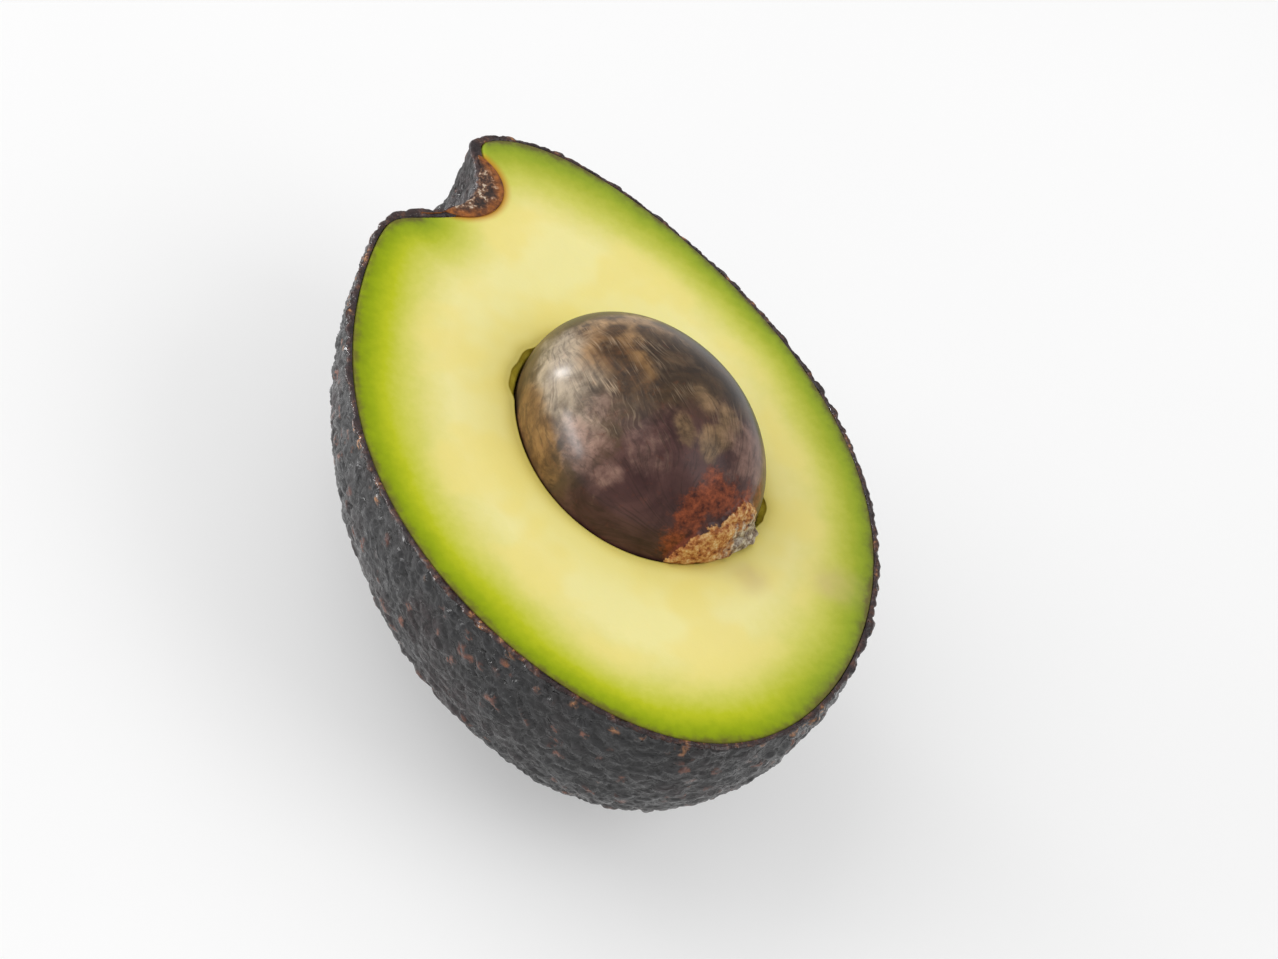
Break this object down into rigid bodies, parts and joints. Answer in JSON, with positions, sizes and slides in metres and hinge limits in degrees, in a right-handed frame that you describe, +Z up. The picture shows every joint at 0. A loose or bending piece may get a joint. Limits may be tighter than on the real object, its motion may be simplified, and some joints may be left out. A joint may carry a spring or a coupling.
{
  "type": "avocado half",
  "caption": "Ripe avocado half with its pebbled dark skin, green and cream flesh and seed, lying on its back with the cut face up.",
  "frame": {"origin": "on the surface that the half rests on, below the middle of its box", "axes": "+Y towards the stem end, +X to the right as the cut face is seen from above with the stem end up, +Z up out of the cut face"},
  "size_m": [0.0698, 0.1028, 0.0484],
  "materials": {
    "skin": "pebbled, near black with a purple tinge, rusty flecks and small glossy highlights",
    "flesh": "smooth moist cut flesh, pale yellow in the middle and green in a band along the rim",
    "stem_scar": "matt corky tissue, rusty brown with whitish flakes",
    "seed": "glossy papery seed coat, mottled grey, ochre and purple brown, with a torn tan patch at its blunt end"
  },
  "bodies": {
    "root": {"skin": "skin", "flesh": "flesh", "stem_scar": "stem_scar", "seed": "seed"}
  },
  "joints": []
}
